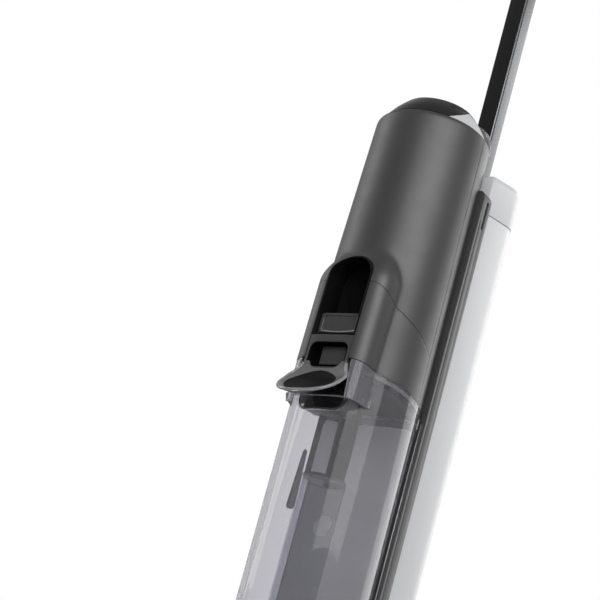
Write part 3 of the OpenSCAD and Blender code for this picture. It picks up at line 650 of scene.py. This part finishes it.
def housing():
    """The housing's mouldings: upper and lower front, and the back, which is one with the spine."""
    back_frame = housing_shell()
    back_frame.name = "back_frame"
    boolean(back_frame, half_space(SEAM_Z, SEAM_TILT, -1))
    lower_shell = copy_of(back_frame, "lower_shell")
    boolean(lower_shell, back_block(SIDE_SEAM - GAP / 2, 1))
    upper_shell = copy_of(lower_shell, "upper_shell")
    part_gap = 0.25
    boolean(upper_shell, half_space(PART_Z + part_gap, PART_TILT, -1))
    finish_piece(round_edges(upper_shell, 0.5, 2), "charcoal", "upright", ["upper_housing"])
    boolean(lower_shell, half_space(PART_Z - part_gap, PART_TILT, 1))
    finish_piece(round_edges(lower_shell, 0.5, 2), "charcoal", "upright", ["lower_housing"])
    boolean(back_frame, back_block(SIDE_SEAM + GAP / 2, -1))
    boolean(back_frame, rear_collar(), "UNION")
    finish_piece(round_edges(back_frame, 0.5, 2), "charcoal", "upright", ["spine"])


# ---------- display cap ----------

CAP_H = CAP_TOP_Z - HOUSING_TOP_Z
CAP_SPLIT_Y, CAP_SPLIT_TILT = -37.5, -31.4


def cap_solid(name, grow, foot=0.0):
    """The slightly domed cone of the cap, in the housing's leaning frame."""
    low_r, high_r = RING_R + grow, LENS_R + 2 + grow
    profile = [(TINY, -foot), (low_r, -foot)]
    for i in range(15):
        t = i / 14
        profile.append((lerp(low_r, high_r, t) + 1.3 * math.sin(math.pi * t), CAP_H * t + grow))
    profile += [(high_r - 0.6, CAP_H + 0.5 + grow), (TINY, CAP_H + 0.5 + grow)]
    return on_cone(revolve(name, profile, 144), CONE_H)


def display_cap():
    """Dark cap in front and its silver crescent behind, round the lens."""
    body = cap_solid("display_cap", 0.0)
    boolean(body, cap_solid("hollow", -2.4, 3.0))
    boolean(body, on_cone(disc("bezel", LENS_R + 0.1, CAP_H - 3, CAP_H + 4, 96), CONE_H))
    silver = copy_of(body, "cap_crescent")
    boolean(body, half_space(HOUSING_TOP_Z, CAP_SPLIT_TILT, -1, CAP_SPLIT_Y))
    boolean(silver, half_space(HOUSING_TOP_Z, CAP_SPLIT_TILT, 1, CAP_SPLIT_Y))
    finish_piece(round_edges(body, 0.3, 2), "cap_black", "upright", ["display_ring"])
    finish_piece(round_edges(silver, 0.3, 2), "silver_paint", "upright", ["trim_crescent"])


# ---------- spine ----------

def spine_slab():
    """Flat slab between tank and column: rounded top, and a slot and a fine groove on each side."""
    half, corner = SPINE_HIGH.x, 8
    bottom = SPINE_LOW.z
    height = SPINE_TOP - bottom
    back = COLUMN_FRONT - 0.3
    outline = rounded(2 * half, height, corner, 8, 0, bottom + height / 2)
    slab = slab_y("spine_slab", outline, SPINE_FRONT, back)
    front, top = SPINE_FRONT - 1, SPINE_TOP - 1
    side = [(front, bottom - 1), (back + 1, bottom - 1)]
    side += arc(back - corner, top - corner, corner, 0, 90, 8) + [(front, top)]
    boolean(slab, slab_x("keep", side, -90, 90), "INTERSECT")
    boolean(slab, housing_solid("inner", 0.6))
    slot = rounded(3.4, 28, 1.65, 6, SPINE_FRONT + 8.5, 602)
    groove = rounded(0.8, 440, 0.39, 3, SPINE_FRONT + 3.4, 376)
    for sign in (-1, 1):
        boolean(slab, slab_x("slot", slot, sign * (half - 2.2), sign * (half + 3)))
        boolean(slab, slab_x("groove", groove, sign * (half - 1.2), sign * (half + 3)))
    return round_edges(slab, 0.9, 3)


def side_rails():
    """Rubber rail each side between tank and spine, with a thin plated line let into it."""

    def bar(name, x0, x1, y0, y1, z0, z1, edge):
        corners = ((x0, y0), (x1, y0), (x1, y1), (x0, y1))
        return round_edges(prism(name, [(sign * x, y) for x, y in corners], z0, z1), edge, 2)

    for sign in (-1, 1):
        rail = bar("side_rail" + "LR"[sign > 0], 49.2, 53.2, 20.3, 21.95, 158, 389, 0.3)
        finish_piece(rail, "rubber", "upright", ["side_seals"] if sign > 0 else [])
        line = bar("side_line" + "LR"[sign > 0], 52.4, 53.65, 20.75, 21.4, 160, 387, 0.15)
        finish_piece(line, "chrome", "upright", [])


# ---------- pieces made from their CAD solids, with welded faces and broken edges ----------

BODY_OF = {}
for body_name, empty in frame["bodies"].items():
    for node_name, node in NODES.items():
        if node.parent is empty:
            BODY_OF[node_name] = body_name
SLOT_OF = {row["node"]: row["material_slot"] for row in frame["record"]["subparts"]}


def refined(node, edge, material):
    """A copy of a CAD node with its flat faces dissolved and its edges rounded, which stands for it."""
    mesh = NODES[node].data.copy()
    for name in ("custom_normal", "sharp_edge"):
        if name in mesh.attributes:
            mesh.attributes.remove(mesh.attributes[name])
    bm = bmesh.new()
    bm.from_mesh(mesh)
    bmesh.ops.remove_doubles(bm, verts=bm.verts, dist=4e-6)
    bmesh.ops.dissolve_limit(bm, angle_limit=math.radians(0.6), verts=bm.verts, edges=bm.edges)
    bm.to_mesh(mesh)
    bm.free()
    obj = bpy.data.objects.new(node + "_piece", mesh)
    bpy.context.scene.collection.objects.link(obj)
    if edge:
        round_edges(obj, edge, 2, 32)
    finish_piece(obj, material, BODY_OF[node], [node])


# ---------- finger recess, release plate and the tank's collar ----------

def plate_outline(half, low, high, bow, r=3.0, count=10):
    """Outline of x and z with a straight top, round upper corners and a bowed lower edge."""
    top = arc(half - r, high - r, r, 0, 90, 5) + arc(-half + r, high - r, r, 90, 180, 5)
    return top + bowed(half, low, bow, count)


def bowed(half, z, bow, count):
    """Points of x and z along a line that sags by bow in the middle."""
    return [(lerp(-half, half, i / count), z - bow * (1 - (2 * i / count - 1) ** 2))
            for i in range(count + 1)]


def release_plate():
    """Button in the finger recess: dished face, stem and a silver bead along its lower edge, a painted
    highlight that stands in for the edge's glint.
    """
    face, root = -68.2, -63.5
    plate = slab_y("release_plate", plate_outline(20.4, 433.5, 454.5, 2.2), face, root)
    boolean(plate, slab_y("dish", plate_outline(17.4, 437.5, 451.8, 1.5, 2), face - 0.8, face + 0.7))
    round_edges(plate, 0.55, 3)
    finish_piece(plate, "release", "tank_button", ["tank_button"])
    stem = lay_back(disc("release_stem", 3, 0, 22, 32), root, 444)
    finish_piece(stem, "dark_plastic", "tank_button")
    # The silver bead is a painted highlight along the plate's lower edge.
    path = [pt(x, face + 0.2, z) for x, z in bowed(19.8, 437.8, 2.0, 16)]
    bead = sweep("release_highlight_bead", path, arc(0, 0, 0.8, 0, 315, 7))
    finish_piece(bead, "silver", "tank_button")


def collar():
    """Front of the tank's lid inside the arch, with its finger pocket."""
    face = housing_solid("collar_front", 0.35)
    boolean(face, block("keep", ARCH_HALF - 0.5, AHEAD, -46, 397.5, 431), "INTERSECT")
    boolean(face, slab_y("pocket", rounded(40, 25, 7, 8, 0, POCKET_Z), AHEAD, -61))
    round_edges(face, 0.6, 3)
    finish_piece(face, "charcoal", "dirty_tank")
    # The pocket's lining is painted shade: near-black without reflections.
    shade_liner = slab_y("collar_pocket", rounded(40.4, 25.4, 7.1, 8, 0, POCKET_Z), -80, -60)
    boolean(shade_liner, housing_solid("liner_front", 0.8), "INTERSECT")
    boolean(shade_liner, slab_y("hollow", rounded(38.8, 23.8, 6.4, 8, 0, POCKET_Z), -82, -61.2))
    finish_piece(shade_liner, "recess", "dirty_tank", ())
    plate = slab_y("collar_plate", rounded(25, 18, 1.2, 4, 1.5, POCKET_Z + 2), -66.5, -61)
    round_edges(plate, 0.6, 3)
    finish_piece(plate, "release", "dirty_tank", ())


def well_line(r, top):
    """Outline of x and z of the finger well that hangs under the lip, with lower corners of radius r."""
    x, z = 13.0, 374.5
    return [(x + r, top), (-x - r, top)] + arc(-x, z, r, 180, 270, 8) + arc(x, z, r, 270, 360, 8)


def lid_block():
    """Plug of the lid, with the rounded tub of the finger well hanging under it."""
    plug = prism("lid_plug", tank_line(4.9), 370, 430)
    boolean(plug, half_space(SEAM_Z - 0.8, SEAM_TILT, 1))
    boolean(plug, half_space(SEAM_Z - 10, SEAM_TILT, -1))
    boolean(plug, block("front", 31, AHEAD, -62, 340, 430))
    round_edges(plug, 0.8, 2)
    finish_piece(plug, "dark_plastic", "dirty_tank", ["tank_lid"])
    tub = slab_y("lid_tub", well_line(11, 394), -80, -38)
    boolean(tub, prism("inside", tank_line(-0.6), 350, 420), "INTERSECT")
    boolean(tub, block("lip_seat", 32, AHEAD, -30, 391, 430))
    round_edges(tub, 0.8, 3)
    finish_piece(tub, "gloss_black", "dirty_tank")
    band = slab_y("tub_band", well_line(12.6, 392), -80, -42)
    boolean(band, slab_y("gap", well_line(11.4, 399), -90, -30))
    boolean(band, prism("inside", tank_line(-0.9), 350, 420), "INTERSECT")
    boolean(band, block("lip_seat", 32, AHEAD, -30, 390, 430))
    round_edges(band, 0.3, 2)
    finish_piece(band, "release", "dirty_tank")


def tank_line(inset, count=96):
    """Outline of the dirty water tank: a round front and a flat back with small corners."""
    r = TANK_R - inset
    back = TANK_BACK - inset
    top = math.degrees(math.asin((back - 3 + AXIS_SHIFT) / r))
    side = arc(0, -AXIS_SHIFT, r, 180 - top, 360 + top, count)
    x_end = side[-1][0]
    corner = [(x_end - 0.6, back - 1.2), (x_end - 2.4, back)]
    return side + corner + [(-x, y) for x, y in reversed(corner)]


# ---------- lip ----------

def lip_path():
    """Side view of the lip's upper face, from the collar's front down to the tip: points of y and z."""
    top, bend, knee, tip = (-73.4, 405), (-73.6, 391), (-82.4, 382.1), (-105.2, 359.2)
    curved, straight, upturn = 12, 22, 1.6
    path = []
    for i in range(curved + 1):
        t = i / curved
        path.append(tuple((1 - t) ** 2 * a + 2 * t * (1 - t) * b + t * t * c
                          for a, b, c in zip(top, bend, knee)))
    for i in range(1, straight + 1):
        t = i / straight
        path.append((lerp(knee[0], tip[0], t), lerp(knee[1], tip[1], t) + upturn * t ** 3))
    return path


def lip_half(s):
    """Half width of the lip at a share s of its length."""
    neck, widest, tip_starts = 22.6, 30, 0.42
    if s < tip_starts:
        return lerp(neck, widest, smooth(s / LIP_FLARE))
    q = (s - tip_starts) / (1 - tip_starts)
    return widest * math.sqrt(max(0.0004, 1 - q ** 2.3))


def lip_point(s, u, lift):
    """A point on the lip: s along it, u across it from -1 to 1, lift off its face."""
    f = min(0.9999, max(0.0, s)) * (len(LIP_PATH) - 1)
    i = int(f)
    (y0, z0), (y1, z1) = LIP_PATH[i], LIP_PATH[i + 1]
    size = math.hypot(y1 - y0, z1 - z0)
    ny, nz = (z1 - z0) / size, -(y1 - y0) / size
    dish = 2.4 * abs(u) ** 3 * smooth(s / LIP_FLARE)
    n = lift + dish
    return pt(lip_half(s) * u, lerp(y0, y1, f - i) + ny * n, lerp(z0, z1, f - i) + nz * n)


LIP_PATH = lip_path()
LIP_FLARE = 0.3                          # share of the lip's length over which it widens


def lip():
    """Spout of the lid: dished tongue, a near-black sheet of painted shade on its dished middle, clear
    rim and a small nub below.
    """
    rows, cols = 44, 26

    def grid(span, s0, s1, lift):
        spread = [math.sin(math.pi / 2 * (2 * j / cols - 1)) for j in range(cols + 1)]
        return [[lip_point(lerp(s0, s1, i / rows), span(i / rows) * u, lift) for u in spread]
                for i in range(rows + 1)]

    def slab(name, span, s0, s1, low, high):
        top, under = grid(span, s0, s1, high), grid(span, s0, s1, low)
        return tidy(loft(name, [a + list(reversed(b)) for a, b in zip(top, under)]))

    def shade_span(t):
        return 0.82 * math.sqrt(max(0.0001, 1 - abs(2 * t - 1) ** 2.6 * 0.999))

    tongue = slab("lip_tongue", lambda t: 1.0, 0.0, 0.995, -2.2, 0.0)
    boolean(tongue, slab_y("pocket", rounded(35, 25, 8, 8, 0, POCKET_Z), AHEAD, -60))
    finish_piece(tongue, "lip_grey", "dirty_tank", ["lid_lip"])
    # Near-black sheet on the lip's dished middle: painted shade.
    shade_sheet = slab("lip_shade_sheet", shade_span, 0.14, 0.93, -0.2, 0.4)
    finish_piece(shade_sheet, "recess", "dirty_tank", ())
    along = [0.03 + 0.968 * i / 40 for i in range(41)]
    edge = [lip_point(s, -1, -0.9) for s in along]
    edge += [lip_point(s, 1, -0.9) for s in reversed(along[:-1])]
    rim = sweep("lip_rim", edge, arc(0, 0, 1.5, 0, 330, 11))
    finish_piece(rim, "rim_clear", "dirty_tank", ())
    profile = [(TINY, 0), (1.0, 0.4), (2.6, 6), (2.8, 7.5), (TINY, 7.5)]
    nub = revolve("lip_nub", profile, 20, pt(-10.5, -98.5, 353.6))
    finish_piece(nub, "rim_clear", "dirty_tank", ())


# ---------- dirty water tank ----------

def ring_solid(name, outer, inner, z0, z1):
    """Upright tube between two outlines of equally many points, open at both ends."""
    edges = ((outer, z0), (outer, z1), (inner, z1), (inner, z0))
    rings = [[pt(x, y, z) for x, y in line] for line, z in edges]
    rings.append(rings[0])
    return tidy(loft(name, rings, False, False))


def tank():
    """Clear shell of the dirty water tank, with the faint flow waves of a blown inner wall."""
    wall = 2.2
    body = prism("tank_shell", tank_line(0), TANK_Z, 430)
    inner = []
    for x, y in tank_line(wall, 320):
        a = math.atan2(y + AXIS_SHIFT, x)
        waves = math.sin(19 * a) + 0.7 * math.sin(43 * a + 1.0)
        flow = 1 - 0.0018 * waves if y < TANK_BACK - 8 else 1
        inner.append((x * flow, (y + AXIS_SHIFT) * flow - AXIS_SHIFT))
    boolean(body, prism("room", inner, TANK_Z + 2.6, 440))
    boolean(body, half_space(SEAM_Z - 0.45, SEAM_TILT, 1))
    boolean(body, block("lip_room", 31, AHEAD, -60, 391, 430))
    boolean(body, disc("bore", RISER_R - 2, 0, 8, 48, pt(0, RISER_Y, TANK_Z - 2)))
    boolean(body, slab_y("well", well_line(12.9, 440), AHEAD, -45))
    round_edges(body, 0.5, 3, 40)
    finish_piece(body, "smoke_clear", "dirty_tank", ["dirty_tank"])
    # two thin frosted bands round the inside of the tank's rim
    for name, high, low in (("rim_band", 1.6, 5.2), ("rim_line", 7.2, 8.4)):
        band = ring_solid(name, tank_line(wall + 0.05), tank_line(wall + 1.3), 370, 425)
        boolean(band, half_space(SEAM_Z - high, SEAM_TILT, 1))
        boolean(band, half_space(SEAM_Z - low, SEAM_TILT, -1))
        boolean(band, block("front", 30, AHEAD, -40, 340, 430))
        finish_piece(band, "frost", "dirty_tank", ())


def skirt():
    """Clear continuation of the hood over the tank's front, down to the edge under the lip."""
    angles = [math.radians(lerp(-47, 47, i / 90)) for i in range(91)]
    levels = [-10.6 + 2.2 * i for i in range(18)]

    def ring(h, inset):
        return [skin_pt(a, h, skin_r(a, h, inset)) for a in angles]

    rings = [ring(h, 0.4) + list(reversed(ring(h, 2.4))) for h in levels]
    body = tidy(loft("lip_skirt", rings))
    boolean(body, half_space(SEAM_Z - 0.45, SEAM_TILT, 1))
    boolean(body, prism("tank", tank_line(-0.15), 340, 430))
    boolean(body, slab_y("lip", [(-28.5, 372), (28.5, 372), (23.2, 440), (-23.2, 440)], AHEAD, -46))
    round_edges(body, 0.4, 2)
    finish_piece(body, "skirt_clear", "dirty_tank", ())


def ducts():
    """Inside of the dirty tank: the riser with its capped top and side port, and the level strip."""
    shrink = 1 - 1.6 / RISER_R
    line = arc(0, RISER_Y, RISER_R, 0, 356, 89)
    inner = [(x * shrink, (y - RISER_Y) * shrink + RISER_Y) for x, y in line]
    shell = ring_solid("riser_shell", line, inner, TANK_Z + 3, RISER_TOP)
    profile = [(TINY, -2), (RISER_R, -2), (RISER_R, -0.8), (RISER_R - 1.5, 0.2), (TINY, 0.8)]
    cap = revolve("riser_cap", profile, 64, pt(0, RISER_Y, RISER_TOP))
    boolean(shell, lay_back(disc("port", 10, 0, 40, 32), RISER_Y, RISER_TOP - 37))
    finish_piece(shell, "smoke_inner", "dirty_tank", ["riser_tube"])
    finish_piece(cap, "smoke_inner", "dirty_tank")
    mark = arc(-14, 276, 3.8, 180, 360, 14) + [(-12.6, 326), (-13.6, 329), (-14.6, 326)]
    strip = slab_y("level_strip", mark, -47.0, -44.8)
    round_edges(strip, 0.5, 2)
    finish_piece(strip, "frost_dark", "dirty_tank", ())


def back_panel():
    """Frosted inner face of the tank's flat back."""
    panel = slab_y("tank_back_panel", rounded(94, 222, 6, 6, 0, 266), 15.4, 17.2)
    round_edges(panel, 0.5, 2)
    finish_piece(panel, "back_panel", "dirty_tank", ())


def float_tube():
    """Dark tube that carries the float, under the lid."""
    profile = [(5.8, 309), (7.4, 310), (7.4, 384), (5.8, 384)]
    body = revolve("float_tube", profile, 40, pt(0, FLOAT_Y, 0))
    boolean(body, half_space(SEAM_Z - 17, SEAM_TILT, 1))
    # The recess material makes it near-black without reflections: painted shade under the lid, over the
    # tube's own dark colour.
    finish_piece(body, "recess", "dirty_tank", ["float_guide"])


# ---------- rear column ----------

def column_line(inset):
    """Outline of the rear column: flat front, straight sides and big round back corners."""
    r, mid = COLUMN_CORNER - inset, COLUMN_BACK - COLUMN_CORNER
    edge = 3.0
    x, y = COLUMN_HALF - edge - inset, COLUMN_FRONT + edge + inset
    out = arc(-x, y, edge, 180, 270, 5) + arc(x, y, edge, 270, 360, 5)
    out += arc(COLUMN_HALF - COLUMN_CORNER, mid, r, 0, 90, 18)
    return out + arc(-COLUMN_HALF + COLUMN_CORNER, mid, r, 90, 180, 18)


def rear_cap():
    """Top moulding of the rear column, crowned and rounded over."""
    soft, rise = 11.0, math.tan(math.radians(10.5))
    rings = [[pt(x, y, CAP_LINE_Z - 18) for x, y in column_line(0)]]
    for q in range(0, 91, 9):
        inset = soft * (1 - math.cos(math.radians(q)))
        top = COLUMN_TOP - soft * (1 - math.sin(math.radians(q)))
        rings.append([pt(x, y, top + (y - COLUMN_FRONT) * rise) for x, y in column_line(inset)])
    body = tidy(loft("rear_cap_shell", rings))
    boolean(body, half_space(CAP_LINE_Z + 0.45, -CAP_LINE_TILT, -1, COLUMN_FRONT))
    boolean(body, housing_solid("housing", -0.35))
    boolean(body, prism("socket", rounded(23, 21, 4, 6, 0, TUBE_Y), 600, 700))
    boolean(body, slab_y("button", rounded(25, 13, 3, 6, 0, 636), 89.8, 120))
    round_edges(body, 0.5, 2)
    finish_piece(body, "white", "upright", ["rear_cap"])


# ---------- the pieces ----------

housing()
side_rails()
finish_piece(spine_slab(), "charcoal", "upright")
display_cap()
rear_cap()
back_panel()
float_tube()
release_plate()
collar()
lid_block()
lip()
tank()
skirt()
ducts()


# width of the rounded edge on each carried-over shape, in millimetres
REFINED = {
    "hood_pocket": 0.3, "display_lens": 0.3, "body_base": 1.2,
    "clean_tank": 0.35, "tube_socket": 0.5, "handle_tube": 0.4,
    "tube_strip": 0.2, "clean_tank_button": 0.6, "tube_lock_button": 0.4, "fill_flap": 0.5,
    "power_button": 0.7, "clean_button": 0.6, "mode_button": 0.6, "grip_front": 0.25, "grip_rear": 0.25,
    "neck_yoke": 1.0, "swivel_collar": 1.0, "suction_hose": 0.6, "foot_base": 1.4, "foot_cover": 1.6,
    "scraper_bar": 0.4, "cover_latch": 0.5, "roller_cover": 0.8, "brush_core": 0.5, "roller_pulley": 0.0,
    "motor_pulley": 0.0, "drive_belt": 0.0, "wheel_left": 1.2, "wheel_right": 1.2, "wheel_axles": 0.2,
    "squeegee_blade": 0.2, "spray_bar": 0.3, "water_pump": 0.8, "brush_motor": 0.8, "float_sleeve": 0.4,
    "lid_seal": 0.4, "dry_filter": 0.5, "tank_valve": 0.3,
}
# The finger opening's pocket takes the recess material, which is painted shade.
OWN_MATERIAL = {"hood_pocket": "recess", "handle_tube": "tube_metal"}
for node_name, width in REFINED.items():
    refined(node_name, width, OWN_MATERIAL.get(node_name, SLOT_OF[node_name]))
for node_name, node in NODES.items():
    node.data.materials.clear()
    node.data.materials.append(M[SLOT_OF[node_name]].mat)


# ---------- camera, light and floor ----------

def look():
    """Camera: turned to the front right, a little below, and rolled so that the machine leans right."""
    turn, under, roll = math.radians(36), math.radians(21), math.radians(15.6)
    right = Vector((math.cos(turn), math.sin(turn), 0))
    up = Vector((math.sin(turn) * math.sin(under), -math.cos(turn) * math.sin(under), math.cos(under)))
    back = right.cross(up)
    cam_up = math.cos(roll) * up - math.sin(roll) * right
    cam_right = math.cos(roll) * right + math.sin(roll) * up
    shoulder = pt(0, 0, 670)
    target = shoulder - right * 0.0825 - up * 0.1786 + cam_right * 0.0028 - cam_up * 0.0025
    distance = 3.2
    matrix = Matrix((cam_right, cam_up, back)).transposed().to_4x4()
    matrix.translation = target + back * distance
    data = bpy.data.cameras.new("camera")
    data.sensor_width = 36
    data.lens = 206.4
    data.clip_end = 20
    cam = bpy.data.objects.new("camera", data)
    cam.matrix_world = matrix
    bpy.context.scene.collection.objects.link(cam)
    bpy.context.scene.camera = cam


def softbox(name, azimuth, height, distance, width, tall, power):
    """A rectangular light at an azimuth round the object (0 is along +X), aimed at its middle."""
    data = bpy.data.lights.new(name, "AREA")
    data.shape = "RECTANGLE"
    data.size, data.size_y = width, tall
    data.energy = power
    obj = bpy.data.objects.new(name, data)
    a = math.radians(azimuth)
    place = Vector((distance * math.cos(a), distance * math.sin(a), height))
    way = Vector((0, 0, 0.6)) - place
    obj.matrix_world = Matrix.Translation(place) @ way.to_track_quat("-Z", "Y").to_matrix().to_4x4()
    obj.visible_camera = False
    obj.visible_transmission = False
    bpy.context.scene.collection.objects.link(obj)


def world():
    """White where the camera and clear plastic look, a dim room with a bright backdrop for the rest."""
    w = bpy.data.worlds.new("world")
    bpy.context.scene.world = w
    w.use_nodes = True
    nodes, links = w.node_tree.nodes, w.node_tree.links
    nodes.clear()
    out = nodes.new("ShaderNodeOutputWorld")
    mix = nodes.new("ShaderNodeMixShader")
    seen = nodes.new("ShaderNodeBackground")
    seen.inputs["Color"].default_value = (1, 1, 1, 1)
    room = nodes.new("ShaderNodeBackground")
    room.inputs["Color"].default_value = (1, 1, 1, 1)
    place = nodes.new("ShaderNodeTexCoord")
    facing = nodes.new("ShaderNodeVectorMath")
    facing.operation = "DOT_PRODUCT"
    behind = math.radians(112)
    facing.inputs[1].default_value = (math.cos(behind), math.sin(behind), 0.0)
    level = nodes.new("ShaderNodeMapRange")
    level.interpolation_type = "SMOOTHSTEP"
    for key, value in (("From Min", 0.1), ("From Max", 0.85), ("To Min", 0.2), ("To Max", 0.5)):
        level.inputs[key].default_value = value
    links.new(place.outputs["Generated"], facing.inputs[0])
    links.new(facing.outputs["Value"], level.inputs["Value"])
    links.new(level.outputs["Result"], room.inputs["Strength"])
    path = nodes.new("ShaderNodeLightPath")
    either = nodes.new("ShaderNodeMath")
    either.operation = "MAXIMUM"
    links.new(path.outputs["Is Camera Ray"], either.inputs[0])
    links.new(path.outputs["Is Transmission Ray"], either.inputs[1])
    links.new(either.outputs[0], mix.inputs["Fac"])
    links.new(room.outputs[0], mix.inputs[1])
    links.new(seen.outputs[0], mix.inputs[2])
    links.new(mix.outputs[0], out.inputs["Surface"])


def floor():
    """A pale round floor."""
    turns = [2 * math.pi * i / 96 for i in range(96)]
    rings = [[Vector((r * math.cos(a), r * math.sin(a), 0)) for a in turns] for r in (0.001, 0.45)]
    obj = tidy(loft("floor", rings, True, False))
    s = Shade("pale floor", (0.86, 0.86, 0.86), 0.6)
    s.tint(s.noise(3.0), (0.84, 0.84, 0.84), (0.88, 0.88, 0.88))
    obj.data.materials.append(s.mat)


look()
world()
floor()
softbox("key", -40, 1.3, 1.9, 1.9, 1.3, 36)
softbox("side", -168, 1.2, 1.7, 0.7, 1.4, 9)
softbox("fill", 76, 1.2, 1.9, 1.8, 1.5, 22)
bpy.context.scene.view_settings.view_transform = "Standard"
bpy.context.scene.view_settings.look = "None"
